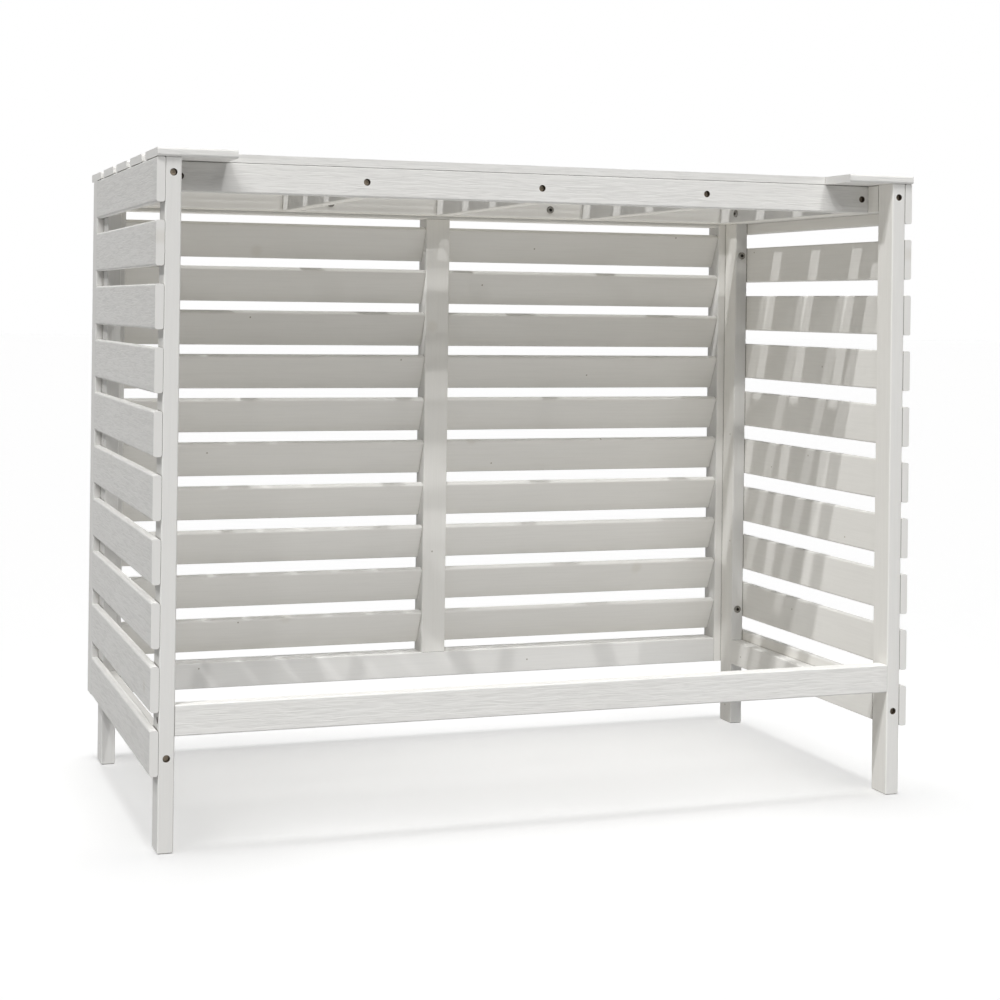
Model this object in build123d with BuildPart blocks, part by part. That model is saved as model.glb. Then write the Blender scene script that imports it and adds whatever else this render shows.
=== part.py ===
from build123d import *
import math
import os

# An open-backed slatted timber screen that stands over an outdoor air conditioner.
# +X is to the right seen from the open back, +Y runs to the louvred front, +Z is up.
# The origin is on the floor in the middle of the whole width and depth.

# Side boards
board_width = 58.0
board_thickness = 11.0
board_gap = 23.0
board_edge_radius = 3.0
board_count = 10
ground_gap = 99.0

# Posts and the rails between them
frame_width = 1078.0
frame_depth = 532.0
post_width = 21.0
post_depth = 40.0
foot_chamfer = 1.5
rail_thickness = 21.0
rail_height = 40.0
low_rail_rise = 2.0
timber_edge_radius = 2.0

# Louvred front panel
panel_depth = 38.0
end_stile_width = 45.0
centre_stile_width = 40.0
top_rail_height = 45.0
bottom_rail_height = 40.0
louvre_tilt = 26.0
louvre_count = 10
dado_depth = 8.0
dado_clearance = 0.3

# Lid
lid_setback = 68.0
lid_member_count = 5
lid_board_width = 95.0
lid_board_count = 5
lid_rear_overhang = 4.0
lid_front_overhang = 21.0
notch_end_length = 104.0

# Countersunk frame screws, sunk below the wood in round recesses
screw_recess_diameter = 9.5
screw_recess_depth = 9.0
screw_head_diameter = 8.0
screw_head_height = 3.0
screw_shank_diameter = 4.5
screw_bite = 28.0
cross_slot_length = 5.0
cross_slot_width = 1.2
cross_slot_depth = 1.5

# Flat-headed bolts with a hexagonal socket
bolt_head_diameter = 12.0
bolt_head_height = 2.2
bolt_head_chamfer = 0.8
bolt_crown_angle = 45.0
bolt_shank_diameter = 6.0
bolt_bite = 15.0
bolt_socket_across = 5.0
bolt_socket_depth = 1.6
panel_bolt_inset = 94.0
lid_bolt_drop = 25.0
lid_front_bolt_spacing = 373.0
lid_side_bolt_inset = 58.0

shank_clearance = 0.2

# Places that follow from the sizes
board_pitch = board_width + board_gap
side_height = board_count * board_pitch - board_gap
frame_top = ground_gap + side_height
post_outer_x = frame_width / 2
post_inner_x = post_outer_x - post_width
post_middle_x = post_outer_x - post_width / 2
overall_half_width = post_outer_x + board_thickness
overall_depth = lid_rear_overhang + frame_depth + panel_depth + lid_front_overhang
back_y = lid_rear_overhang - overall_depth / 2
front_y = back_y + frame_depth
front_post_y = front_y - post_depth
rail_start_y = back_y + post_depth
panel_middle_y = front_y + panel_depth / 2
low_rail_z = ground_gap + low_rail_rise + rail_height / 2
high_rail_z = frame_top - rail_height / 2
rear_rail_z = ground_gap + board_width + board_gap / 2
rear_rail_y = back_y + rail_thickness / 2
stile_inner_x = overall_half_width - end_stile_width
opening_bottom = ground_gap + bottom_rail_height
opening_top = frame_top - top_rail_height
tilt = math.radians(louvre_tilt)
louvre_rise = board_width * math.cos(tilt) + board_thickness * math.sin(tilt)
louvre_gap = (opening_top - opening_bottom - louvre_count * louvre_rise) / (louvre_count + 1)
louvre_pitch = louvre_rise + louvre_gap
lid_rear_y = back_y + lid_setback
lid_front_rail_y = front_y - rail_thickness
lid_member_y = lid_rear_y + rail_thickness
lid_member_length = lid_front_rail_y - lid_member_y
lid_end_member_x = post_inner_x - rail_thickness / 2
lid_member_step = 2 * lid_end_member_x / (lid_member_count - 1)
lid_board_pitch = (overall_depth - lid_board_width) / (lid_board_count - 1)
lid_board_z = frame_top + board_thickness / 2
notch_depth = lid_setback + lid_rear_overhang
lid_bolt_z = frame_top - lid_bolt_drop
shank_hole_radius = screw_shank_diameter / 2 + shank_clearance
bolt_hole_radius = bolt_shank_diameter / 2 + shank_clearance

SIDES = {"left": -1, "right": 1}
TO_RIGHT = (1, 0, 0)
TO_LEFT = (-1, 0, 0)
TO_FRONT = (0, 1, 0)
TO_BACK = (0, -1, 0)
UP = (0, 0, 1)

os.makedirs("parts", exist_ok=True)


def along_x(x, y, z):
    """Plane for a section that runs along +X, with its width across Y and its height up Z."""
    return Plane(origin=(x, y, z), x_dir=TO_FRONT, z_dir=TO_RIGHT)


def along_y(x, y, z):
    """Plane for a section that runs along +Y, with its height up Z and its thickness across X."""
    return Plane(origin=(x, y, z), x_dir=UP, z_dir=TO_FRONT)


def along_z(x, y, z):
    """Plane for a section that stands up along +Z."""
    return Plane(origin=(x, y, z), x_dir=TO_RIGHT, z_dir=UP)


def facing(x, y, z, direction):
    """Plane on a face, with its normal pointing out of the wood."""
    return Plane(origin=(x, y, z), z_dir=direction)


def member_places():
    """Middle X of each cross-member of the lid, from left to right."""
    return [-lid_end_member_x + number * lid_member_step for number in range(lid_member_count)]


def louvre_heights():
    """Middle height of each louvre, from the lowest up."""
    first = opening_bottom + louvre_gap + louvre_rise / 2
    return [first + row * louvre_pitch for row in range(louvre_count)]


def recess(plane):
    """Cut a round recess with a hole for the shank into the piece being built."""
    with Locations(plane):
        CounterBoreHole(
            radius=shank_hole_radius,
            counter_bore_radius=screw_recess_diameter / 2,
            counter_bore_depth=screw_recess_depth,
        )


def screw(plane, thickness):
    """Add a sunk screw that holds a piece of the given thickness and bites into the next one."""
    seat = plane.offset(-screw_recess_depth)
    with BuildSketch(seat) as head:
        Circle(screw_head_diameter / 2)
    extrude(head.sketch, amount=screw_head_height)
    with BuildSketch(seat) as shank:
        Circle(screw_shank_diameter / 2)
    extrude(shank.sketch, amount=-(thickness - screw_recess_depth + screw_bite))
    with BuildSketch(seat.offset(screw_head_height)) as slot:
        Rectangle(cross_slot_length, cross_slot_width)
        Rectangle(cross_slot_width, cross_slot_length)
    extrude(slot.sketch, amount=-cross_slot_depth, mode=Mode.SUBTRACT)


def bolt(plane, thickness):
    """Add a bolt whose flat head lies on the face and whose shank bites into the next piece."""
    with BuildSketch(plane) as head:
        Circle(bolt_head_diameter / 2)
    extrude(head.sketch, amount=bolt_head_height - bolt_head_chamfer)
    with BuildSketch(plane.offset(bolt_head_height - bolt_head_chamfer)) as crown:
        Circle(bolt_head_diameter / 2)
    extrude(crown.sketch, amount=bolt_head_chamfer, taper=bolt_crown_angle)
    with BuildSketch(plane) as shank:
        Circle(bolt_shank_diameter / 2)
    extrude(shank.sketch, amount=-(thickness + bolt_bite))
    with BuildSketch(plane.offset(bolt_head_height)) as socket:
        RegularPolygon(bolt_socket_across / 2, 6, major_radius=False)
    extrude(socket.sketch, amount=-bolt_socket_depth, mode=Mode.SUBTRACT)


# Posts, with the recesses for the rails' screws and the holes for the panel's bolts
for side, sign in SIDES.items():
    with BuildPart() as rear_post:
        with BuildSketch(along_z(sign * post_middle_x, back_y + post_depth / 2, 0)):
            RectangleRounded(post_width, post_depth, timber_edge_radius)
        extrude(amount=frame_top)
        chamfer(rear_post.faces().sort_by(Axis.Z)[0].edges(), foot_chamfer)
        for height in (low_rail_z, high_rail_z):
            recess(facing(sign * post_middle_x, back_y, height, TO_BACK))
        recess(facing(sign * post_outer_x, rear_rail_y, rear_rail_z, (sign, 0, 0)))
    rear_post.part.label = f"{side}_rear_post"
    export_step(rear_post.part, f"parts/{side}_rear_post.step")

    with BuildPart() as front_post:
        with BuildSketch(along_z(sign * post_middle_x, front_post_y + post_depth / 2, 0)):
            RectangleRounded(post_width, post_depth, timber_edge_radius)
        extrude(amount=frame_top)
        chamfer(front_post.faces().sort_by(Axis.Z)[0].edges(), foot_chamfer)
        for height in (low_rail_z, high_rail_z):
            recess(facing(sign * post_middle_x, front_y, height, TO_FRONT))
        for height in (ground_gap + panel_bolt_inset, frame_top - panel_bolt_inset):
            with Locations(facing(sign * post_middle_x, front_post_y, height, TO_BACK)):
                Hole(bolt_hole_radius)
    front_post.part.label = f"{side}_front_post"
    export_step(front_post.part, f"parts/{side}_front_post.step")

# Side rails between the posts, drilled in both ends for the screws
for side, sign in SIDES.items():
    for level, height in {"low": low_rail_z, "high": high_rail_z}.items():
        with BuildPart() as side_rail:
            with BuildSketch(along_y(sign * post_middle_x, rail_start_y, height)):
                RectangleRounded(rail_height, post_width, timber_edge_radius)
            extrude(amount=front_post_y - rail_start_y)
            with Locations(
                facing(sign * post_middle_x, rail_start_y, height, TO_BACK),
                facing(sign * post_middle_x, front_post_y, height, TO_FRONT),
            ):
                Hole(shank_hole_radius, screw_bite + shank_clearance)
            if level == "high":
                for place in (lid_member_y + lid_side_bolt_inset, lid_front_rail_y - lid_side_bolt_inset):
                    with Locations(facing(sign * post_inner_x, place, lid_bolt_z, (-sign, 0, 0))):
                        Hole(bolt_hole_radius, bolt_bite + shank_clearance)
        side_rail.part.label = f"{side}_{level}_rail"
        export_step(side_rail.part, f"parts/{side}_{level}_rail.step")

# Side boards outside the posts, from the lowest up
for side, sign in SIDES.items():
    for row in range(board_count):
        middle_z = ground_gap + board_width / 2 + row * board_pitch
        with BuildPart() as side_board:
            with BuildSketch(along_y(sign * (post_outer_x + board_thickness / 2), back_y, middle_z)):
                RectangleRounded(board_width, board_thickness, board_edge_radius)
            extrude(amount=frame_depth)
        side_board.part.label = f"{side}_board_{row + 1:02d}"
        export_step(side_board.part, f"parts/{side}_board_{row + 1:02d}.step")

# Rear rail low between the rear posts, level with the gap above the lowest side boards
with BuildPart() as rear_rail:
    with BuildSketch(along_x(-post_inner_x, rear_rail_y, rear_rail_z)):
        RectangleRounded(rail_thickness, rail_height, timber_edge_radius)
    extrude(amount=2 * post_inner_x)
    with Locations(
        facing(-post_inner_x, rear_rail_y, rear_rail_z, TO_LEFT),
        facing(post_inner_x, rear_rail_y, rear_rail_z, TO_RIGHT),
    ):
        Hole(shank_hole_radius, screw_bite + shank_clearance)
rear_rail.part.label = "rear_rail"
export_step(rear_rail.part, "parts/rear_rail.step")


def cut_dados(face_x, direction):
    """Cut the slanted slots for the louvre ends into a stile's face."""
    with BuildSketch(along_x(face_x, panel_middle_y, 0)) as slots:
        with Locations(*[(0, height) for height in louvre_heights()]):
            RectangleRounded(
                board_width + 2 * dado_clearance,
                board_thickness + 2 * dado_clearance,
                board_edge_radius + dado_clearance,
                rotation=90 + louvre_tilt,
            )
    extrude(slots.sketch, amount=direction * dado_depth, mode=Mode.SUBTRACT)


# End stiles of the front panel, bolted to the front posts
for side, sign in SIDES.items():
    with BuildPart() as end_stile:
        middle_x = sign * (overall_half_width - end_stile_width / 2)
        with BuildSketch(along_z(middle_x, panel_middle_y, ground_gap)):
            RectangleRounded(end_stile_width, panel_depth, timber_edge_radius)
        extrude(amount=side_height)
        cut_dados(sign * stile_inner_x, sign)
        for height in (ground_gap + panel_bolt_inset, frame_top - panel_bolt_inset):
            with Locations(facing(sign * post_middle_x, front_y, height, TO_BACK)):
                Hole(bolt_hole_radius, bolt_bite + shank_clearance)
    end_stile.part.label = f"{side}_stile"
    export_step(end_stile.part, f"parts/{side}_stile.step")

# Centre stile between the panel's rails, slotted on both sides
with BuildPart() as centre_stile:
    with BuildSketch(along_z(0, panel_middle_y, opening_bottom)):
        RectangleRounded(centre_stile_width, panel_depth, timber_edge_radius)
    extrude(amount=opening_top - opening_bottom)
    cut_dados(-centre_stile_width / 2, 1)
    cut_dados(centre_stile_width / 2, -1)
centre_stile.part.label = "centre_stile"
export_step(centre_stile.part, "parts/centre_stile.step")

# Top and bottom rails of the front panel
with BuildPart() as panel_top_rail:
    with BuildSketch(along_x(-stile_inner_x, panel_middle_y, frame_top - top_rail_height / 2)):
        RectangleRounded(panel_depth, top_rail_height, timber_edge_radius)
    extrude(amount=2 * stile_inner_x)
    for sign in SIDES.values():
        with Locations(facing(sign * lid_front_bolt_spacing / 2, front_y, lid_bolt_z, TO_BACK)):
            Hole(bolt_hole_radius, bolt_bite + shank_clearance)
panel_top_rail.part.label = "panel_top_rail"
export_step(panel_top_rail.part, "parts/panel_top_rail.step")

with BuildPart() as panel_bottom_rail:
    with BuildSketch(along_x(-stile_inner_x, panel_middle_y, ground_gap + bottom_rail_height / 2)):
        RectangleRounded(panel_depth, bottom_rail_height, timber_edge_radius)
    extrude(amount=2 * stile_inner_x)
panel_bottom_rail.part.label = "panel_bottom_rail"
export_step(panel_bottom_rail.part, "parts/panel_bottom_rail.step")

# Louvres, one board in each bay of every row, tilted to shed rain to the front
louvre_reach = dado_depth - dado_clearance
louvre_length = stile_inner_x - centre_stile_width / 2 + 2 * louvre_reach
for row, height in enumerate(louvre_heights()):
    with BuildPart() as louvre_row:
        for start_x in (-stile_inner_x - louvre_reach, centre_stile_width / 2 - louvre_reach):
            with BuildSketch(along_x(start_x, panel_middle_y, height)):
                RectangleRounded(board_width, board_thickness, board_edge_radius, rotation=90 + louvre_tilt)
            extrude(amount=louvre_length)
    louvre_row.part.label = f"louvres_{row + 1:02d}"
    export_step(louvre_row.part, f"parts/louvres_{row + 1:02d}.step")

# Lid frame: a rear rail set forward of the rear posts, a front rail and the cross-members
with BuildPart() as lid_rear_rail:
    with BuildSketch(along_x(-post_inner_x, lid_rear_y + rail_thickness / 2, high_rail_z)):
        RectangleRounded(rail_thickness, rail_height, timber_edge_radius)
    extrude(amount=2 * post_inner_x)
    for place in member_places():
        recess(facing(place, lid_rear_y, high_rail_z, TO_BACK))
lid_rear_rail.part.label = "lid_rear_rail"
export_step(lid_rear_rail.part, "parts/lid_rear_rail.step")

with BuildPart() as lid_front_rail:
    with BuildSketch(along_x(-post_inner_x, lid_front_rail_y + rail_thickness / 2, high_rail_z)):
        RectangleRounded(rail_thickness, rail_height, timber_edge_radius)
    extrude(amount=2 * post_inner_x)
    for place in member_places():
        recess(facing(place, front_y, high_rail_z, TO_FRONT))
    for sign in SIDES.values():
        with Locations(facing(sign * lid_front_bolt_spacing / 2, lid_front_rail_y, lid_bolt_z, TO_BACK)):
            Hole(bolt_hole_radius)
lid_front_rail.part.label = "lid_front_rail"
export_step(lid_front_rail.part, "parts/lid_front_rail.step")

for number, place in enumerate(member_places()):
    with BuildPart() as lid_member:
        with BuildSketch(along_y(place, lid_member_y, high_rail_z)):
            RectangleRounded(rail_height, rail_thickness, timber_edge_radius)
        extrude(amount=lid_member_length)
        with Locations(
            facing(place, lid_member_y, high_rail_z, TO_BACK),
            facing(place, lid_front_rail_y, high_rail_z, TO_FRONT),
        ):
            Hole(shank_hole_radius, screw_bite + shank_clearance)
        if number in (0, lid_member_count - 1):
            outward = 1 if number else -1
            for y in (lid_member_y + lid_side_bolt_inset, lid_front_rail_y - lid_side_bolt_inset):
                with Locations(facing(outward * post_inner_x, y, lid_bolt_z, (outward, 0, 0))):
                    Hole(bolt_hole_radius)
    lid_member.part.label = f"lid_member_{number + 1}"
    export_step(lid_member.part, f"parts/lid_member_{number + 1}.step")

# Lid boards from the back to the front, the rearmost notched between its two ends
for row in range(lid_board_count):
    rear_y = row * lid_board_pitch - overall_depth / 2
    with BuildPart() as lid_board:
        with BuildSketch(along_x(-overall_half_width, rear_y + lid_board_width / 2, lid_board_z)):
            RectangleRounded(lid_board_width, board_thickness, board_edge_radius)
        extrude(amount=2 * overall_half_width)
        if row == 0:
            with BuildSketch(along_z(0, rear_y + notch_depth / 2, frame_top)):
                Rectangle(2 * (overall_half_width - notch_end_length), notch_depth)
            extrude(amount=board_thickness, mode=Mode.SUBTRACT)
    lid_board.part.label = f"lid_board_{row + 1}"
    export_step(lid_board.part, f"parts/lid_board_{row + 1}.step")

# Screws through the posts into the rails
with BuildPart() as post_screws:
    for sign in SIDES.values():
        for height in (low_rail_z, high_rail_z):
            screw(facing(sign * post_middle_x, back_y, height, TO_BACK), post_depth)
            screw(facing(sign * post_middle_x, front_y, height, TO_FRONT), post_depth)
        screw(facing(sign * post_outer_x, rear_rail_y, rear_rail_z, (sign, 0, 0)), post_width)
post_screws.part.label = "post_screws"
export_step(post_screws.part, "parts/post_screws.step")

# Screws through the lid's rails into its cross-members
with BuildPart() as lid_screws:
    for place in member_places():
        screw(facing(place, lid_rear_y, high_rail_z, TO_BACK), rail_thickness)
        screw(facing(place, front_y, high_rail_z, TO_FRONT), rail_thickness)
lid_screws.part.label = "lid_screws"
export_step(lid_screws.part, "parts/lid_screws.step")

# Bolts that hold the front panel to the front posts
with BuildPart() as panel_bolts:
    for sign in SIDES.values():
        for height in (ground_gap + panel_bolt_inset, frame_top - panel_bolt_inset):
            bolt(facing(sign * post_middle_x, front_post_y, height, TO_BACK), post_depth)
panel_bolts.part.label = "panel_bolts"
export_step(panel_bolts.part, "parts/panel_bolts.step")

# Bolts that hold the lid frame to the side rails and to the front panel
with BuildPart() as lid_bolts:
    for sign in SIDES.values():
        front_x = sign * lid_front_bolt_spacing / 2
        bolt(facing(front_x, lid_front_rail_y, lid_bolt_z, TO_BACK), rail_thickness)
        for y in (lid_member_y + lid_side_bolt_inset, lid_front_rail_y - lid_side_bolt_inset):
            face_x = sign * (post_inner_x - rail_thickness)
            bolt(facing(face_x, y, lid_bolt_z, (-sign, 0, 0)), rail_thickness)
lid_bolts.part.label = "lid_bolts"
export_step(lid_bolts.part, "parts/lid_bolts.step")

print("overall", 2 * overall_half_width, overall_depth, frame_top + board_thickness)
print("louvre gap", louvre_gap, "louvre pitch", louvre_pitch)
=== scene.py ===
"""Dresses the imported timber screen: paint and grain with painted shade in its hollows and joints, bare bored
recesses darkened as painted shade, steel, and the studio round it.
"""

import math

import bmesh
import bpy
from bpy.props import FloatProperty, FloatVectorProperty, IntProperty, PointerProperty
from mathutils import Matrix, Vector


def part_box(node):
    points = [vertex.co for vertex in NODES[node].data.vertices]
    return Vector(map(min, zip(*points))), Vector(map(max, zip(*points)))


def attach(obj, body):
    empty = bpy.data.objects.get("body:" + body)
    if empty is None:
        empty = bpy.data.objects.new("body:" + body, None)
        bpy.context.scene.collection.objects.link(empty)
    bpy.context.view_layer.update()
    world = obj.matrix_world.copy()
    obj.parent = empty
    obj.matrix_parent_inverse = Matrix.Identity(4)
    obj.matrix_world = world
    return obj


bl_info = {
    "name": "Timber Screen Finish",
    "version": (1, 0, 0),
    "blender": (4, 5, 0),
    "location": "View3D > Sidebar > Screen",
    "description": "Paints and lights a slatted timber screen for an outdoor air conditioner",
    "category": "Object",
}

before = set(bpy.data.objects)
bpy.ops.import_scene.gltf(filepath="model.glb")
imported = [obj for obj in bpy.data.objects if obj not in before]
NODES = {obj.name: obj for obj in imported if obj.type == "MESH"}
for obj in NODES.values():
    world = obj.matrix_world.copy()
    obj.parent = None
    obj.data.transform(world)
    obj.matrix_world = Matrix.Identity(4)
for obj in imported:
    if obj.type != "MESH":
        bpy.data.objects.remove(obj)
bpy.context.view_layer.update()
STEEL_NODES = ("post_screws", "lid_screws", "panel_bolts", "lid_bolts")
AXES = {"X": 0, "Y": 1, "Z": 2}

# The open back looks backwards and the louvred front looks forwards
BACKWARDS = Vector((0, -1, 0))
FORWARDS = Vector((0, 1, 0))

# The grain is made of waves with fibres on them, under broad clouds of shade. Lengths are in metres, a share
# is of one wave, a swirl is the noise's distortion, and a start is where in the noise the layer begins.
GRAIN_DETAIL = 2.0
PLANED_STRETCH = 2.2
SAWN_SWIRL = 0.9
PLANED_SWIRL = 0.3
WAVE_START = (3.7, 1.9, 5.3)
FIBRE_LENGTH_SHARE = 1.6
FIBRE_WIDTH_SHARE = 0.30
FIBRE_SWIRL = 0.2
FIBRE_START = (8.1, 4.2, 0.6)
CLOUD_LENGTH = 0.34
CLOUD_WIDTH = 0.06
CLOUD_SWIRL = 0.5
CLOUD_START = (1.3, 7.9, 2.2)

# Share of the grain's height that each layer gives, and the heights where hollows end and crests begin
WAVE_SHARE = 0.72
FIBRE_SHARE = 0.28
HOLLOW_HEIGHT = 0.36
CREST_HEIGHT = 0.56

# How much of the painted shade in the grain's hollows planed timber lacks
PLANED_EVENNESS = 0.7

# What the paint is multiplied by in a cloud, over a knot, in a speck and, with the joint's painted shade, in a
# joint
CLOUD_SHADE = (0.955, 0.952, 0.945, 1.0)
KNOT_SHADE = (0.93, 0.92, 0.90, 1.0)
SPECK_SHADE = (0.50, 0.47, 0.42, 1.0)
JOINT_TINT = (1.0, 0.97, 0.92)

# A knot's dark core as a share of its radius, and how many times as wide its faint edge and a speck's are
KNOT_CORE = 0.3
KNOT_BLUR = 4.0
SPECK_BLUR = 2.2

# Openness, from 0 to 1, at which the painted shade of a joint is darkest and at which it no longer darkens the
# the paint, and the number of rays that measure it
JOINT_DEEP = 0.15
JOINT_OPEN = 0.62
JOINT_SAMPLES = 4

# How far the hollows and the crests of the waves differ from the paint's roughness
HOLLOW_ROUGHER = 0.10
CREST_SMOOTHER = 0.06
HOLLOW_WAVE = 0.25
CREST_WAVE = 0.75
PAINT_SPECULAR = 0.20

# The fine streaks of bare wood in a bored hole, their length and width in metres
STREAK_LENGTH = 0.004
STREAK_WIDTH = 0.0012
STREAK_DETAIL = 3.0
STREAK_SHADE = 0.45
BARE_ROUGHNESS = 0.9

# The fine unevenness of steel, in metres where it is a length, and the roughness of each steel finish
STEEL_CLOUD = 0.0015
STEEL_DETAIL = 4.0
STEEL_SMOOTHER = 0.08
STEEL_ROUGHER = 0.12
STEEL_BUMP = 0.4
STEEL_DEPTH = 0.00005
SCREW_ROUGHNESS = 0.45
BOLT_ROUGHNESS = 0.18
SOCKET_ROUGHNESS = 0.6

# Vertices of a bolt nearer than this, in metres, are one
MERGE_DISTANCE = 1e-6

# The floor's reach from the middle in metres, and its roughness
FLOOR_REACH = 40.0
FLOOR_ROUGHNESS = 0.9

# Height of a direction, from -1 straight down to 1 straight up, at which the ground's light is whole and gone
GROUND_WHOLE = -1.0
GROUND_GONE = -0.15

# Ways that the light of the screen's lamps travels
STEEP_TRAVEL = (0.405, 0.39, -1.0)
SIDE_TRAVEL = (0.82, 0.28, -1.0)
BACK_TRAVEL = (-0.17, 0.55, -1.0)
WIDE_TRAVEL = (0.0, 1.6, -1.0)
LOW_TRAVEL = (0.55, 1.15, -1.0)
FRONT_TRAVEL = (-0.3, -1.0, 0.0)
RIGHT_TRAVEL = (-1.0, -0.25, 0.0)

# Ways that the light thrown back inside the screen travels
FRONT_FILL_TRAVEL = (0.0, 1.0, 0.25)
SIDE_FILL_TRAVEL = (1.0, 0.0, 0.0)
UNDER_FILL_TRAVEL = (0.0, 0.0, 1.0)

# Ways that the light of the floor's own lamps travels
FLOOR_LEFT_TRAVEL = (0.5, 0.35, -1.0)
FLOOR_RIGHT_TRAVEL = (-0.35, 0.5, -1.0)
FLOOR_TOP_TRAVEL = (0.0, -0.10, -1.0)

# Widths of the lamps in degrees: the wider the lamp, the softer its shadow
SUNLIGHT_WIDTH = 0.9
LOW_WIDTH = 3.0
WIDE_WIDTH = 24.0
FRONT_WIDTH = 20.0
RIGHT_WIDTH = 20.0
FILL_WIDTH = 30.0
FLOOR_LEFT_WIDTH = 30.0
FLOOR_RIGHT_WIDTH = 24.0
FLOOR_TOP_WIDTH = 22.0

# Width of the camera's sensor in millimetres
SENSOR_WIDTH = 36.0


class ScreenPaint(bpy.types.PropertyGroup):
    """The opaque paint on the timber and the brushed grain that shows through it."""

    colour: FloatVectorProperty(
        name="Paint colour", description="Colour of the paint", subtype="COLOR", size=3,
        min=0.0, max=1.0, default=(0.865, 0.857, 0.834),
    )
    # Painted shade: the paint is darker in the grain's hollows, down to this share of its colour
    painted_hollow_shade: FloatProperty(
        name="Hollow shade", description="Share of its light that the paint keeps low in sawn grain",
        min=0.0, max=1.0, default=0.92,
    )
    # Painted shade: all timber but both rear rails and the lid's boards gets a darker copy of the paint,
    # standing in for shade
    painted_frame_shade: FloatProperty(
        name="Frame shade",
        description="Share of the paint's colour on all timber but both rear rails and the lid's boards",
        min=0.0, max=1.0, default=0.935,
    )
    # Painted shade: the paint is darkened deep in joints and corners, where little light reaches
    painted_joint_darkness: FloatProperty(
        name="Joint shade", description="Share of its light that the paint keeps deep in a joint",
        min=0.0, max=1.0, default=0.35,
    )
    # Painted shade: width across which joints and corners are darkened
    painted_shade_reach: FloatProperty(
        name="Joint reach", description="Width across which a joint's dirt shows", unit="LENGTH",
        min=0.0005, max=0.02, default=0.0035,
    )
    sawn_depth: FloatProperty(
        name="Sawn grain depth", description="Depth of the grain on sawn timber", unit="LENGTH",
        min=0.0, max=0.003, default=0.00065,
    )
    planed_depth: FloatProperty(
        name="Planed grain depth", description="Depth of the grain on planed timber", unit="LENGTH",
        min=0.0, max=0.003, default=0.00010,
    )
    wave_width: FloatProperty(
        name="Grain width", description="Width of one wave of the grain", unit="LENGTH",
        min=0.001, max=0.05, default=0.0035,
    )
    wave_length: FloatProperty(
        name="Grain length", description="Length of one wave of the grain", unit="LENGTH",
        min=0.01, max=0.5, default=0.038,
    )
    roughness: FloatProperty(
        name="Paint roughness", description="Roughness of the paint", min=0.0, max=1.0, default=0.62,
    )
    speck_spacing: FloatProperty(
        name="Speck spacing", description="Distance between small specks in the paint", unit="LENGTH",
        min=0.02, max=1.0, default=0.19,
    )
    speck_radius: FloatProperty(
        name="Speck radius", description="Radius of a small speck in the paint", unit="LENGTH",
        min=0.0, max=0.01, default=0.0008,
    )
    end_level: FloatProperty(
        name="End level", description="Height of the paint on the smooth sawn ends, as a share of the grain",
        min=0.0, max=1.0, default=0.55,
    )
    knot_spacing: FloatProperty(
        name="Knot spacing", description="Distance between faint knots under the paint", unit="LENGTH",
        min=0.05, max=2.0, default=0.42,
    )
    knot_radius: FloatProperty(
        name="Knot radius", description="Radius of a faint knot under the paint", unit="LENGTH",
        min=0.0, max=0.05, default=0.011,
    )


class ScreenHardware(bpy.types.PropertyGroup):
    """The screws, the bolts and the holes bored for them."""

    # Partly painted shade: bare wood, made far darker than bare wood is to paint the shade deep in a recess
    bare_wood_and_shade: FloatVectorProperty(
        name="Bare wood", description="Colour of the wood inside a bored recess", subtype="COLOR", size=3,
        min=0.0, max=1.0, default=(0.100, 0.072, 0.046),
    )
    screw_colour: FloatVectorProperty(
        name="Screw colour", description="Colour of the coated screws", subtype="COLOR", size=3,
        min=0.0, max=1.0, default=(0.260, 0.220, 0.170),
    )
    zinc_colour: FloatVectorProperty(
        name="Zinc colour", description="Colour of the plated bolts", subtype="COLOR", size=3,
        min=0.0, max=1.0, default=(0.31, 0.30, 0.28),
    )
    # Painted shade: a near-black colour for a thin disc in the socket, standing in for the shade there
    socket_painted_shade: FloatVectorProperty(
        name="Socket colour", description="Colour of the shaded floor of a bolt's socket", subtype="COLOR",
        size=3, min=0.0, max=1.0, default=(0.03, 0.028, 0.025),
    )
    recess_radius: FloatProperty(
        name="Recess radius", description="Radius of the bored recess", unit="LENGTH",
        min=0.001, max=0.02, default=0.00475,
    )
    recess_depth: FloatProperty(
        name="Recess depth", description="Depth of the bored recess", unit="LENGTH",
        min=0.001, max=0.03, default=0.009,
    )
    lining: FloatProperty(
        name="Lining", description="Thickness of the bare wood shown inside a recess", unit="LENGTH",
        min=0.00005, max=0.002, default=0.00013,
    )
    lining_play: FloatProperty(
        name="Lining play", description="Play between a lining and its recess", unit="LENGTH",
        min=0.00001, max=0.001, default=0.00002,
    )
    lining_sink: FloatProperty(
        name="Lining sink", description="How far a lining stays from the mouth and the floor of its recess",
        unit="LENGTH", min=0.00005, max=0.003, default=0.0003,
    )
    socket_across: FloatProperty(
        name="Socket width", description="Width across the flats of a bolt's socket", unit="LENGTH",
        min=0.001, max=0.02, default=0.005,
    )
    # A socket's shaded floor is the thin disc of painted shade
    socket_sink: FloatProperty(
        name="Socket sink", description="Depth of the middle of a socket's shaded floor", unit="LENGTH",
        min=0.0001, max=0.01, default=0.00148,
    )
    socket_play: FloatProperty(
        name="Socket play", description="Play between a socket's flats and its shaded floor", unit="LENGTH",
        min=0.00005, max=0.001, default=0.00015,
    )
    ring_sides: IntProperty(
        name="Ring sides", description="Sides of each round lining and socket floor",
        min=8, max=96, default=32,
    )


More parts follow.
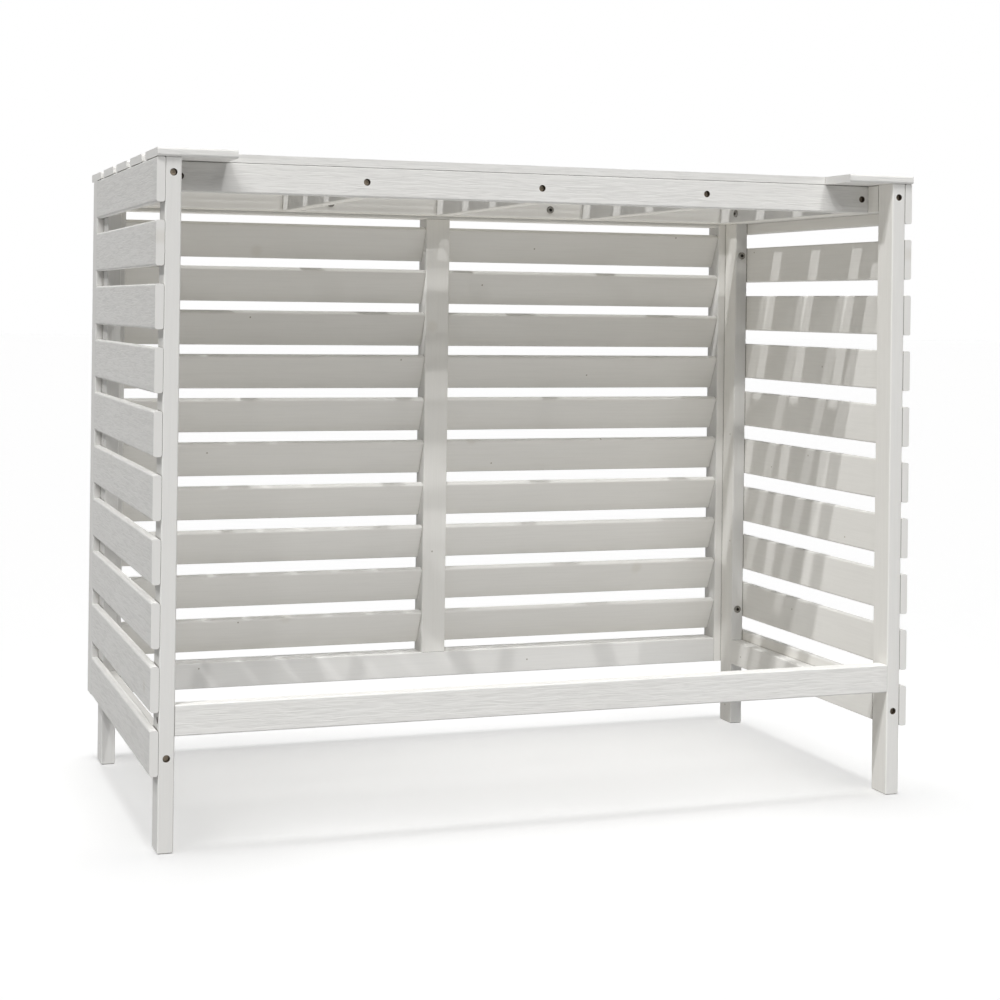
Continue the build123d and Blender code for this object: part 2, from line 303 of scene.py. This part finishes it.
class ScreenStudio(bpy.types.PropertyGroup):
    """The floor, the light and the camera."""

    camera_place: FloatVectorProperty(
        name="Camera place", description="Where the camera stands", subtype="XYZ", unit="LENGTH",
        size=3, default=(-0.9611, -2.6950, 0.6983),
    )
    camera_turn: FloatProperty(
        name="Camera turn", description="Turn of the view from +Y towards +X", subtype="ANGLE",
        default=math.radians(19.014),
    )
    camera_tilt: FloatProperty(
        name="Camera tilt", description="Tilt of the view above the horizon", subtype="ANGLE",
        default=math.radians(0.075),
    )
    camera_roll: FloatProperty(
        name="Camera roll", description="Roll of the camera about the view", subtype="ANGLE",
        default=math.radians(0.72),
    )
    focal_share: FloatProperty(
        name="Focal share", description="Focal length as a share of the picture's width",
        min=0.2, max=10.0, default=1.8998,
    )
    middle_across: FloatProperty(
        name="Middle across", description="Optical centre as a share of the width from the left",
        min=0.0, max=1.0, default=0.4663,
    )
    middle_down: FloatProperty(
        name="Middle down", description="Optical centre as a share of the height from the top",
        min=0.0, max=1.0, default=0.3052,
    )
    light_above: FloatProperty(
        name="Light above", description="Strength of the even light from the sky",
        min=0.0, max=5.0, default=0.103,
    )
    light_below: FloatProperty(
        name="Light below", description="Strength of the light thrown straight up from the ground",
        min=0.0, max=5.0, default=0.88,
    )
    steep_lamp: FloatProperty(
        name="Steep lamp", description="Strength of the steep lamp behind on the left",
        min=0.0, max=20.0, default=1.09,
    )
    side_lamp: FloatProperty(
        name="Side lamp", description="Strength of the lamp high on the left",
        min=0.0, max=20.0, default=1.09,
    )
    back_lamp: FloatProperty(
        name="Back lamp", description="Strength of the lamp high behind the open back",
        min=0.0, max=20.0, default=0.72,
    )
    wide_lamp: FloatProperty(
        name="Wide lamp", description="Strength of the wide soft lamp above the camera",
        min=0.0, max=20.0, default=0.92,
    )
    low_lamp: FloatProperty(
        name="Low lamp", description="Strength of the lower lamp behind on the left",
        min=0.0, max=20.0, default=0.265,
    )
    front_lamp: FloatProperty(
        name="Front lamp", description="Strength of the soft lamp before the louvred front",
        min=0.0, max=20.0, default=1.25,
    )
    right_lamp: FloatProperty(
        name="Right lamp", description="Strength of the soft lamp beyond the right side",
        min=0.0, max=20.0, default=1.10,
    )
    front_fill: FloatProperty(
        name="Front fill", description="Strength of the soft light thrown back on the louvred front",
        min=0.0, max=20.0, default=0.26,
    )
    side_fill: FloatProperty(
        name="Side fill", description="Strength of the soft light thrown back on the right side",
        min=0.0, max=20.0, default=0.38,
    )
    under_fill: FloatProperty(
        name="Under fill", description="Strength of the soft light thrown up under the lid's frame",
        min=0.0, max=20.0, default=0.48,
    )
    floor_left_lamp: FloatProperty(
        name="Floor left lamp",
        description="Strength of the wide lamp that gives the floor the left side's shadow",
        min=0.0, max=20.0, default=0.45,
    )
    floor_right_lamp: FloatProperty(
        name="Floor right lamp",
        description="Strength of the wide lamp that gives the floor the right side's shadow",
        min=0.0, max=20.0, default=0.19,
    )
    floor_top_lamp: FloatProperty(
        name="Floor top lamp",
        description="Strength of the wide lamp that gives the floor the lid's soft shadow",
        min=0.0, max=20.0, default=1.32,
    )
    fill_colour: FloatVectorProperty(
        name="Fill colour", description="Colour of the light thrown back inside the screen", subtype="COLOR",
        size=3, min=0.0, max=1.0, default=(1.0, 0.93, 0.76),
    )
    floor_colour: FloatVectorProperty(
        name="Floor colour", description="Colour of the floor", subtype="COLOR", size=3,
        min=0.0, max=1.0, default=(0.90, 0.90, 0.90),
    )
    floor_glow: FloatProperty(
        name="Floor glow", description="Light that brings the open floor to white for the camera",
        min=0.0, max=1.0, default=0.364,
    )


def new_material(name):
    """A material with an empty node tree but for its shader and output."""
    material = bpy.data.materials.new(name)
    material.use_nodes = True
    nodes = material.node_tree.nodes
    shader = nodes["Principled BSDF"]
    return material, nodes, material.node_tree.links, shader


def math_node(nodes, links, operation, first, second):
    """A Math node of two inputs, each a socket or a number."""
    node = nodes.new("ShaderNodeMath")
    node.operation = operation
    for slot, value in enumerate((first, second)):
        if isinstance(value, (int, float)):
            node.inputs[slot].default_value = value
        else:
            links.new(value, node.inputs[slot])
    return node.outputs[0]


def map_range(nodes, links, value, start, end, result_at_start, result_at_end):
    """A Map Range node that turns the values from start to end into the results given for them."""
    node = nodes.new("ShaderNodeMapRange")
    node.inputs["From Min"].default_value = start
    node.inputs["From Max"].default_value = end
    node.inputs["To Min"].default_value = result_at_start
    node.inputs["To Max"].default_value = result_at_end
    links.new(value, node.inputs["Value"])
    return node


def two_tones(nodes, links, factor, start, dark, end, light):
    """A colour that goes from dark at the factor's start to light at its end."""
    ramp = nodes.new("ShaderNodeValToRGB")
    first, last = ramp.color_ramp.elements
    first.position = start
    first.color = (*dark, 1.0)
    last.position = end
    last.color = (*light, 1.0)
    links.new(factor, ramp.inputs["Fac"])
    return ramp.outputs["Color"]


def bumped(nodes, links, height, strength, depth, shader):
    """Give a shader the relief of a height."""
    bump = nodes.new("ShaderNodeBump")
    bump.inputs["Strength"].default_value = strength
    bump.inputs["Distance"].default_value = depth
    links.new(height, bump.inputs["Height"])
    links.new(bump.outputs["Normal"], shader.inputs["Normal"])


def stretched_noise(nodes, links, grain, length, width, detail, distortion, offset):
    """Noise drawn out along the grain, one cell as long and wide as given."""
    place = nodes.new("ShaderNodeTexCoord")
    mapping = nodes.new("ShaderNodeMapping")
    scale = [1.0 / width] * 3
    scale[AXES[grain]] = 1.0 / length
    mapping.inputs["Scale"].default_value = scale
    mapping.inputs["Location"].default_value = offset
    links.new(place.outputs["Object"], mapping.inputs["Vector"])
    noise = nodes.new("ShaderNodeTexNoise")
    noise.inputs["Scale"].default_value = 1.0
    noise.inputs["Detail"].default_value = detail
    noise.inputs["Roughness"].default_value = 0.5
    noise.inputs["Distortion"].default_value = distortion
    links.new(mapping.outputs["Vector"], noise.inputs["Vector"])
    return noise.outputs["Fac"]


def scattered_spots(nodes, links, grain, thin, spacing, radius, blur):
    """Round spots scattered over a board's face: 1 inside a spot and 0 outside it."""
    across = next(axis for axis in AXES if axis not in (grain, thin))
    place = nodes.new("ShaderNodeTexCoord")
    split = nodes.new("ShaderNodeSeparateXYZ")
    join = nodes.new("ShaderNodeCombineXYZ")
    links.new(place.outputs["Object"], split.inputs["Vector"])
    links.new(split.outputs[grain], join.inputs["X"])
    links.new(split.outputs[across], join.inputs["Y"])
    cells = nodes.new("ShaderNodeTexVoronoi")
    cells.voronoi_dimensions = "2D"
    cells.inputs["Scale"].default_value = 1.0 / spacing
    links.new(join.outputs["Vector"], cells.inputs["Vector"])
    core = radius / spacing
    edge = map_range(nodes, links, cells.outputs["Distance"], core, core * blur, 1.0, 0.0)
    edge.interpolation_type = "SMOOTHSTEP"
    return edge.outputs["Result"]


def shaded(nodes, links, colour, factor, shade):
    """A colour darkened towards a share of itself where the factor is 1."""
    mix = nodes.new("ShaderNodeMix")
    mix.data_type = "RGBA"
    mix.blend_type = "MULTIPLY"
    mix.inputs["B"].default_value = shade
    links.new(factor, mix.inputs["Factor"])
    links.new(colour, mix.inputs["A"])
    return mix.outputs["Result"]


def brushed_grain(nodes, links, grain, waves):
    """Height of the paint over the grain: waves with fibres on them, and smooth on the cut ends."""
    paint = bpy.context.scene.screen_paint
    fibres = stretched_noise(
        nodes, links, grain, paint.wave_length * FIBRE_LENGTH_SHARE, paint.wave_width * FIBRE_WIDTH_SHARE,
        GRAIN_DETAIL, FIBRE_SWIRL, FIBRE_START,
    )
    wave_height = math_node(nodes, links, "MULTIPLY", waves, WAVE_SHARE)
    fibre_height = math_node(nodes, links, "MULTIPLY", fibres, FIBRE_SHARE)
    brushed = math_node(nodes, links, "ADD", wave_height, fibre_height)
    facing = nodes.new("ShaderNodeTexCoord")
    split = nodes.new("ShaderNodeSeparateXYZ")
    links.new(facing.outputs["Normal"], split.inputs["Vector"])
    cut_end = math_node(nodes, links, "ABSOLUTE", split.outputs[grain], 0.0)
    level = nodes.new("ShaderNodeMix")
    level.inputs["B"].default_value = paint.end_level
    links.new(cut_end, level.inputs["Factor"])
    links.new(brushed, level.inputs["A"])
    return level.outputs["Result"]


def painted_joint_shade_mask(nodes, links, reach):
    """Painted shade: 1 deep in the joints and corners between pieces, found by occlusion, and 0 on open faces.
    """
    joint = nodes.new("ShaderNodeAmbientOcclusion")
    joint.samples = JOINT_SAMPLES
    joint.inputs["Distance"].default_value = reach
    deep = map_range(nodes, links, joint.outputs["AO"], JOINT_DEEP, JOINT_OPEN, 1.0, 0.0)
    return deep.outputs["Result"]


def painted_timber(name, grain, thin, sawn, tone):
    """White painted timber with the grain along one axis and its faces across another."""
    paint = bpy.context.scene.screen_paint
    material, nodes, links, shader = new_material(name)

    length = paint.wave_length if sawn else paint.wave_length * PLANED_STRETCH
    swirl = SAWN_SWIRL if sawn else PLANED_SWIRL
    waves = stretched_noise(nodes, links, grain, length, paint.wave_width, GRAIN_DETAIL, swirl, WAVE_START)
    clouds = stretched_noise(
        nodes, links, grain, CLOUD_LENGTH, CLOUD_WIDTH, GRAIN_DETAIL, CLOUD_SWIRL, CLOUD_START,
    )
    height = brushed_grain(nodes, links, grain, waves)
    depth = paint.sawn_depth if sawn else paint.planed_depth
    bumped(nodes, links, height, 1.0, depth, shader)

    # Painted shade: a tone below 1 makes a darker copy of the paint
    plain = tone * Vector(paint.colour)
    evenness = 0.0 if sawn else PLANED_EVENNESS
    hollow = evenness + (1.0 - evenness) * paint.painted_hollow_shade
    # Painted shade: the paint darkens from its plain colour at the grain's crests to a share of it in the
    # hollows
    colour = two_tones(nodes, links, height, HOLLOW_HEIGHT, hollow * plain, CREST_HEIGHT, plain)
    colour = shaded(nodes, links, colour, clouds, CLOUD_SHADE)
    knots = scattered_spots(
        nodes, links, grain, thin, paint.knot_spacing, paint.knot_radius * KNOT_CORE, KNOT_BLUR,
    )
    colour = shaded(nodes, links, colour, knots, KNOT_SHADE)
    if not sawn:
        specks = scattered_spots(
            nodes, links, grain, thin, paint.speck_spacing, paint.speck_radius, SPECK_BLUR,
        )
        colour = shaded(nodes, links, colour, specks, SPECK_SHADE)
    # Painted shade: the paint darkened in joints and corners by how shut in they are
    painted_shade = painted_joint_shade_mask(nodes, links, paint.painted_shade_reach)
    painted_joint_darkness = [paint.painted_joint_darkness * tint for tint in JOINT_TINT]
    colour = shaded(nodes, links, colour, painted_shade, (*painted_joint_darkness, 1.0))
    links.new(colour, shader.inputs["Base Color"])

    rough = paint.roughness + HOLLOW_ROUGHER
    smooth = paint.roughness - CREST_SMOOTHER
    shine = map_range(nodes, links, waves, HOLLOW_WAVE, CREST_WAVE, rough, smooth)
    links.new(shine.outputs["Result"], shader.inputs["Roughness"])
    shader.inputs["Specular IOR Level"].default_value = PAINT_SPECULAR
    return material


def bare_wood_and_recess_shade():
    """Bare wood with fine upright streaks, its colour made dark to paint the shade deep in a recess."""
    hardware = bpy.context.scene.screen_hardware
    material, nodes, links, shader = new_material("bare_wood_and_recess_shade")
    streaks = stretched_noise(
        nodes, links, "Z", STREAK_LENGTH, STREAK_WIDTH, STREAK_DETAIL, 0.0, (0.0, 0.0, 0.0),
    )
    light = Vector(hardware.bare_wood_and_shade)
    colour = two_tones(nodes, links, streaks, 0.0, STREAK_SHADE * light, 1.0, light)
    links.new(colour, shader.inputs["Base Color"])
    shader.inputs["Roughness"].default_value = BARE_ROUGHNESS
    return material


def steel(name, colour, roughness):
    """Steel with a fine uneven shine."""
    material, nodes, links, shader = new_material(name)
    cloud = stretched_noise(nodes, links, "Z", STEEL_CLOUD, STEEL_CLOUD, STEEL_DETAIL, 0.0, (0.0, 0.0, 0.0))
    smooth = roughness - STEEL_SMOOTHER
    rough = roughness + STEEL_ROUGHER
    shine = map_range(nodes, links, cloud, 0.0, 1.0, smooth, rough)
    links.new(shine.outputs["Result"], shader.inputs["Roughness"])
    bumped(nodes, links, cloud, STEEL_BUMP, STEEL_DEPTH, shader)
    shader.inputs["Base Color"].default_value = (*colour, 1.0)
    shader.inputs["Metallic"].default_value = 1.0
    return material


def starting(words):
    """The nodes whose names start with the given words."""
    return [node for node in NODES if node.startswith(words)]


def middle_of(box):
    """The middle of a box, given by its lowest and its highest corner."""
    low, high = box
    return (low + high) / 2


def node_axes(node):
    """The axes that a node is longest and thinnest along: its grain, and the way its faces look."""
    low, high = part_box(node)
    sides = high - low
    order = sorted(AXES, key=lambda axis: sides[AXES[axis]])
    return order[2], order[0]


def give_material(node, material):
    """Put one material on every slot of a node's object."""
    piece = NODES[node]
    if not piece.material_slots:
        piece.data.materials.append(material)
    for slot in piece.material_slots:
        slot.material = material


def paint_nodes(nodes, sawn, bright=False):
    """Paint nodes with the grain along each; those of one finish, tone and pair of axes share a material. The
    plain tone is a darker copy of the bright paint, a painted shade.
    """
    tone = 1.0 if bright else bpy.context.scene.screen_paint.painted_frame_shade
    tone_word = "bright" if bright else "plain"
    finish_word = "sawn" if sawn else "planed"
    for node in nodes:
        grain, thin = node_axes(node)
        name = f"{tone_word}_{finish_word}_timber_{grain}_{thin}"
        material = bpy.data.materials.get(name) or painted_timber(name, grain, thin, sawn, tone)
        give_material(node, material)


def add_piece(name, mesh, material):
    """A new piece from a bmesh, riding on the screen's one body."""
    data = bpy.data.meshes.new(name)
    mesh.to_mesh(data)
    mesh.free()
    piece = bpy.data.objects.new(name, data)
    bpy.context.scene.collection.objects.link(piece)
    data.materials.append(material)
    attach(piece, "root")
    return piece


def recess_places():
    """Middle of each bored recess's mouth and the direction that it faces, found from the nodes' boxes."""
    places = []
    rail_middle = middle_of(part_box("rear_rail"))
    for side, sign in (("left", -1), ("right", 1)):
        rear_low, rear_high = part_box(f"{side}_rear_post")
        post_x = (rear_low.x + rear_high.x) / 2
        front_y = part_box(f"{side}_front_post")[1].y
        for level in ("low", "high"):
            height = middle_of(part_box(f"{side}_{level}_rail")).z
            places.append((Vector((post_x, rear_low.y, height)), BACKWARDS))
            places.append((Vector((post_x, front_y, height)), FORWARDS))
        outer_x = rear_high.x if sign > 0 else rear_low.x
        places.append((Vector((outer_x, rail_middle.y, rail_middle.z)), Vector((sign, 0, 0))))
    lid_rear_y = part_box("lid_rear_rail")[0].y
    lid_front_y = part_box("lid_front_rail")[1].y
    for node in starting("lid_member_"):
        member = middle_of(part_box(node))
        places.append((Vector((member.x, lid_rear_y, member.z)), BACKWARDS))
        places.append((Vector((member.x, lid_front_y, member.z)), FORWARDS))
    return places


def separate_solids(mesh):
    """The points of each solid of a mesh, told apart by following the edges."""
    seen = set()
    solids = []
    for start in mesh.verts:
        if start in seen:
            continue
        seen.add(start)
        solid = [start]
        for vertex in solid:
            for edge in vertex.link_edges:
                other = edge.other_vert(vertex)
                if other not in seen:
                    seen.add(other)
                    solid.append(other)
        solids.append([vertex.co.copy() for vertex in solid])
    return solids


def head_place(points):
    """Middle of a bolt's head face and the direction that it faces: the head is its wider end."""
    low = Vector([min(point[i] for point in points) for i in range(3)])
    high = Vector([max(point[i] for point in points) for i in range(3)])
    sides = high - low
    along = max(range(3), key=lambda i: sides[i])
    axis = Vector([1.0 if i == along else 0.0 for i in range(3)])
    middle = (low + high) / 2
    near_end = min(sides) / 4
    ends = []
    for end, face in ((low, -1), (high, 1)):
        ring = [point - middle for point in points if abs(point[along] - end[along]) < near_end]
        spread = max((point - point.dot(axis) * axis).length for point in ring)
        ends.append((spread, face, end[along]))
    face, place = max(ends)[1:]
    mouth = middle.copy()
    mouth[along] = place
    return mouth, face * axis


def bolt_places():
    """Middle of each bolt's head face and the direction that it faces, found from the solids of the bolts."""
    places = []
    for node in ("panel_bolts", "lid_bolts"):
        mesh = bmesh.new()
        mesh.from_mesh(NODES[node].data)
        bmesh.ops.remove_doubles(mesh, verts=mesh.verts, dist=MERGE_DISTANCE)
        places += [head_place(points) for points in separate_solids(mesh)]
        mesh.free()
    return places


def turned_to(place, direction):
    """The matrix that puts a shape's middle at a place and turns its axis to a direction."""
    return Matrix.Translation(place) @ direction.to_track_quat("Z", "Y").to_matrix().to_4x4()


class SCREEN_OT_paint_posts(bpy.types.Operator):
    """Paint the four posts, smooth planed timber with the grain upright"""

    bl_idname = "screen.paint_posts"
    bl_label = "Paint the posts"

    def execute(self, context):
        paint_nodes([node for node in NODES if node.endswith("_post")], sawn=False)
        return {"FINISHED"}


class SCREEN_OT_paint_side_boards(bpy.types.Operator):
    """Paint the side boards, the left ones in the sawn finish and the right ones in the planed one"""

    bl_idname = "screen.paint_side_boards"
    bl_label = "Paint the side boards"

    def execute(self, context):
        paint_nodes(starting("left_board_"), sawn=True)
        paint_nodes(starting("right_board_"), sawn=False)
        return {"FINISHED"}


class SCREEN_OT_paint_rails(bpy.types.Operator):
    """Paint the rails of the sides and the back"""

    bl_idname = "screen.paint_rails"
    bl_label = "Paint the rails"

    def execute(self, context):
        paint_nodes([node for node in NODES if node.endswith(("_low_rail", "_high_rail"))], sawn=False)
        paint_nodes(["rear_rail"], sawn=True, bright=True)
        return {"FINISHED"}


class SCREEN_OT_paint_front_panel(bpy.types.Operator):
    """Paint the frame of the louvred front panel"""

    bl_idname = "screen.paint_front_panel"
    bl_label = "Paint the front panel"

    def execute(self, context):
        panel = ["left_stile", "right_stile", "centre_stile", "panel_top_rail", "panel_bottom_rail"]
        paint_nodes(panel, sawn=False)
        return {"FINISHED"}


class SCREEN_OT_paint_louvres(bpy.types.Operator):
    """Paint the tilted louvres, smooth planed timber"""

    bl_idname = "screen.paint_louvres"
    bl_label = "Paint the louvres"

    def execute(self, context):
        paint_nodes(starting("louvres_"), sawn=False)
        return {"FINISHED"}


class SCREEN_OT_paint_lid(bpy.types.Operator):
    """Paint the lid's boards and the rails and members under them"""

    bl_idname = "screen.paint_lid"
    bl_label = "Paint the lid"

    def execute(self, context):
        paint_nodes(starting("lid_board_") + ["lid_rear_rail"], sawn=True, bright=True)
        paint_nodes(starting("lid_member_") + ["lid_front_rail"], sawn=False)
        return {"FINISHED"}


class SCREEN_OT_finish_steel(bpy.types.Operator):
    """Give the screws and the bolts their steel"""

    bl_idname = "screen.finish_steel"
    bl_label = "Finish the steel"

    def execute(self, context):
        hardware = context.scene.screen_hardware
        coated = steel("coated_screw_steel", hardware.screw_colour, SCREW_ROUGHNESS)
        bright = steel("zinc_plated_steel", hardware.zinc_colour, BOLT_ROUGHNESS)
        for node in STEEL_NODES:
            give_material(node, coated if node.endswith("screws") else bright)
        return {"FINISHED"}


class SCREEN_OT_line_recesses(bpy.types.Operator):
    """Line each bored recess with bare wood, darkened as painted shade, round the screw's head"""

    bl_idname = "screen.line_recesses"
    bl_label = "Line the recesses"

    def execute(self, context):
        hardware = context.scene.screen_hardware
        radius = hardware.recess_radius - hardware.lining_play
        depth = hardware.recess_depth - 2 * hardware.lining_sink
        mesh = bmesh.new()
        for place, direction in recess_places():
            middle = place - direction * hardware.recess_depth / 2
            bmesh.ops.create_cone(
                mesh, cap_ends=False, segments=hardware.ring_sides, radius1=radius, radius2=radius,
                depth=depth, matrix=turned_to(middle, direction),
            )
        bmesh.ops.solidify(mesh, geom=mesh.faces[:], thickness=hardware.lining)
        add_piece("recess_linings", mesh, bare_wood_and_recess_shade())
        return {"FINISHED"}


class SCREEN_OT_shade_sockets(bpy.types.Operator):
    """Set a thin dark disc in the socket of each bolt as painted shade"""

    bl_idname = "screen.shade_sockets"
    bl_label = "Shade the sockets"

    def execute(self, context):
        hardware = context.scene.screen_hardware
        mesh = bmesh.new()
        radius = hardware.socket_across / 2 - hardware.socket_play
        for place, direction in bolt_places():
            seat = place - direction * hardware.socket_sink
            bmesh.ops.create_cone(
                mesh, cap_ends=True, segments=hardware.ring_sides, radius1=radius, radius2=radius,
                depth=hardware.socket_play, matrix=turned_to(seat, direction),
            )
        # Painted shade: the near-black disc stands in for the shade in the socket
        dark = steel("painted_shade_socket_steel", hardware.socket_painted_shade, SOCKET_ROUGHNESS)
        add_piece("bolt_sockets", mesh, dark)
        return {"FINISHED"}


class SCREEN_OT_set_stage(bpy.types.Operator):
    """Lay the floor, hang the lamps and stand the camera where the photograph was taken"""

    bl_idname = "screen.set_stage"
    bl_label = "Set the stage"

    def execute(self, context):
        studio = context.scene.screen_studio
        lay_floor(studio)
        light_sky(studio)
        hang_lamps(studio)
        stand_camera(studio)
        context.scene.view_settings.view_transform = "Standard"
        return {"FINISHED"}


def seen_by_eye(nodes, links):
    """1 for rays from the camera and for reflections and sight through glass, otherwise 0."""
    path = nodes.new("ShaderNodeLightPath")
    glossy = path.outputs["Is Glossy Ray"]
    through = path.outputs["Is Transmission Ray"]
    indirect = math_node(nodes, links, "MAXIMUM", glossy, through)
    return math_node(nodes, links, "MAXIMUM", path.outputs["Is Camera Ray"], indirect)


def lay_floor(studio):
    """A wide pale floor, white where it is open and keeping the screen's soft shadow."""
    mesh = bmesh.new()
    bmesh.ops.create_grid(mesh, x_segments=1, y_segments=1, size=FLOOR_REACH)
    data = bpy.data.meshes.new("floor")
    mesh.to_mesh(data)
    mesh.free()
    floor = bpy.data.objects.new("floor", data)
    bpy.context.scene.collection.objects.link(floor)
    floor.visible_diffuse = False
    material, nodes, links, shader = new_material("pale_floor")
    shader.inputs["Base Color"].default_value = (*studio.floor_colour, 1.0)
    shader.inputs["Roughness"].default_value = FLOOR_ROUGHNESS
    shader.inputs["Specular IOR Level"].default_value = 0.0
    shader.inputs["Emission Color"].default_value = (1.0, 1.0, 1.0, 1.0)
    glow = math_node(nodes, links, "MULTIPLY", seen_by_eye(nodes, links), studio.floor_glow)
    links.new(glow, shader.inputs["Emission Strength"])
    data.materials.append(material)


def light_sky(studio):
    """Soft light, strongest from straight below and weak from the sky, white where it is looked at."""
    world = bpy.data.worlds.new("studio")
    bpy.context.scene.world = world
    world.use_nodes = True
    nodes = world.node_tree.nodes
    links = world.node_tree.links
    background = nodes["Background"]
    background.inputs["Color"].default_value = (1.0, 1.0, 1.0, 1.0)
    direction = nodes.new("ShaderNodeTexCoord")
    split = nodes.new("ShaderNodeSeparateXYZ")
    links.new(direction.outputs["Generated"], split.inputs["Vector"])
    rise = map_range(
        nodes, links, split.outputs["Z"], GROUND_WHOLE, GROUND_GONE, studio.light_below, studio.light_above,
    )
    strength = math_node(nodes, links, "MAXIMUM", seen_by_eye(nodes, links), rise.outputs["Result"])
    links.new(strength, background.inputs["Strength"])


def hang_lamp(name, strength, travel, width, pieces):
    """A distant lamp, some degrees wide, whose light travels one way and falls only on the given pieces."""
    lamp = bpy.data.lights.new(name, "SUN")
    lamp.energy = strength
    lamp.angle = math.radians(width)
    holder = bpy.data.objects.new(name, lamp)
    holder.rotation_euler = Vector(travel).to_track_quat("-Z", "Y").to_euler()
    bpy.context.scene.collection.objects.link(holder)
    lit = bpy.data.collections.new(f"lit_by_{name}")
    for piece in pieces:
        lit.objects.link(piece)
    holder.light_linking.receiver_collection = lit
    return lamp


def hang_fill(name, strength, colour, travel, nodes):
    """A lamp with no shadow that stands for the light thrown back inside the screen."""
    lamp = hang_lamp(name, strength, travel, FILL_WIDTH, [NODES[node] for node in nodes])
    lamp.color = colour
    lamp.use_shadow = False


def hang_floor_lamp(name, strength, travel, width, shade_makers):
    """A wide lamp for the floor alone, on which only some pieces throw a shadow."""
    hang_lamp(name, strength, travel, width, [bpy.data.objects["floor"]])
    shading = bpy.data.collections.new(f"shading_{name}")
    for piece in shade_makers:
        shading.objects.link(piece)
    bpy.data.objects[name].light_linking.blocker_collection = shading


def hang_lamps(studio):
    """Lamps of the screen, soft light thrown back inside it, and the floor's own lamps."""
    screen = [piece for piece in bpy.context.scene.objects if piece.type == "MESH" and piece.name != "floor"]
    hang_lamp("steep_lamp", studio.steep_lamp, STEEP_TRAVEL, SUNLIGHT_WIDTH, screen)
    hang_lamp("side_lamp", studio.side_lamp, SIDE_TRAVEL, SUNLIGHT_WIDTH, screen)
    hang_lamp("back_lamp", studio.back_lamp, BACK_TRAVEL, SUNLIGHT_WIDTH, screen)
    hang_lamp("wide_lamp", studio.wide_lamp, WIDE_TRAVEL, WIDE_WIDTH, screen)
    hang_lamp("low_lamp", studio.low_lamp, LOW_TRAVEL, LOW_WIDTH, screen)
    hang_lamp("front_lamp", studio.front_lamp, FRONT_TRAVEL, FRONT_WIDTH, screen)
    hang_lamp("right_lamp", studio.right_lamp, RIGHT_TRAVEL, RIGHT_WIDTH, screen)

    inner_front = starting("louvres_") + ["centre_stile", "right_stile", "lid_front_rail"]
    inner_side = [node for node in starting("right_") if node != "right_stile"]
    under_lid = starting("lid_member_") + ["lid_front_rail", "panel_top_rail"]
    hang_fill("front_fill", studio.front_fill, studio.fill_colour, FRONT_FILL_TRAVEL, inner_front)
    hang_fill("side_fill", studio.side_fill, studio.fill_colour, SIDE_FILL_TRAVEL, inner_side)
    hang_fill("under_fill", studio.under_fill, studio.fill_colour, UNDER_FILL_TRAVEL, under_lid)

    left_side = [NODES[node] for node in starting("left_")]
    right_side = [NODES[node] for node in starting("right_")]
    hang_floor_lamp(
        "floor_lamp_left", studio.floor_left_lamp, FLOOR_LEFT_TRAVEL, FLOOR_LEFT_WIDTH, left_side,
    )
    hang_floor_lamp(
        "floor_lamp_right", studio.floor_right_lamp, FLOOR_RIGHT_TRAVEL, FLOOR_RIGHT_WIDTH, right_side,
    )
    hang_floor_lamp("floor_lamp_top", studio.floor_top_lamp, FLOOR_TOP_TRAVEL, FLOOR_TOP_WIDTH, screen)


def stand_camera(studio):
    """A camera at the photograph's place, turn and framing."""
    data = bpy.data.cameras.new("camera")
    data.sensor_width = SENSOR_WIDTH
    data.lens = data.sensor_width * studio.focal_share
    data.shift_x = 0.5 - studio.middle_across
    data.shift_y = studio.middle_down - 0.5
    camera = bpy.data.objects.new("camera", data)
    turn = Matrix.Rotation(-studio.camera_turn, 3, "Z")
    tilt = Matrix.Rotation(math.pi / 2 + studio.camera_tilt, 3, "X")
    roll = Matrix.Rotation(studio.camera_roll, 3, "Z")
    camera.rotation_euler = (turn @ tilt @ roll).to_euler()
    camera.location = studio.camera_place
    bpy.context.scene.collection.objects.link(camera)
    bpy.context.scene.camera = camera


class SCREEN_PT_finish(bpy.types.Panel):
    """Lists the steps of the finish in the sidebar"""

    bl_label = "Timber screen"
    bl_idname = "SCREEN_PT_finish"
    bl_space_type = "VIEW_3D"
    bl_region_type = "UI"
    bl_category = "Screen"

    def draw(self, context):
        for operator in OPERATORS:
            self.layout.operator(operator.bl_idname)


OPERATORS = (
    SCREEN_OT_paint_posts,
    SCREEN_OT_paint_side_boards,
    SCREEN_OT_paint_rails,
    SCREEN_OT_paint_front_panel,
    SCREEN_OT_paint_louvres,
    SCREEN_OT_paint_lid,
    SCREEN_OT_finish_steel,
    SCREEN_OT_line_recesses,
    SCREEN_OT_shade_sockets,
    SCREEN_OT_set_stage,
)
CLASSES = (ScreenPaint, ScreenHardware, ScreenStudio, *OPERATORS, SCREEN_PT_finish)


def register():
    """Register the classes and hang the settings on the scene."""
    for each in CLASSES:
        bpy.utils.register_class(each)
    bpy.types.Scene.screen_paint = PointerProperty(type=ScreenPaint)
    bpy.types.Scene.screen_hardware = PointerProperty(type=ScreenHardware)
    bpy.types.Scene.screen_studio = PointerProperty(type=ScreenStudio)


def unregister():
    """Take the settings and the classes away again."""
    del bpy.types.Scene.screen_studio
    del bpy.types.Scene.screen_hardware
    del bpy.types.Scene.screen_paint
    for each in reversed(CLASSES):
        bpy.utils.unregister_class(each)


def main():
    """Run every step in order."""
    register()
    bpy.ops.screen.paint_posts()
    bpy.ops.screen.paint_side_boards()
    bpy.ops.screen.paint_rails()
    bpy.ops.screen.paint_front_panel()
    bpy.ops.screen.paint_louvres()
    bpy.ops.screen.paint_lid()
    bpy.ops.screen.finish_steel()
    bpy.ops.screen.line_recesses()
    bpy.ops.screen.shade_sockets()
    bpy.ops.screen.set_stage()


if __name__ == "__main__":
    main()
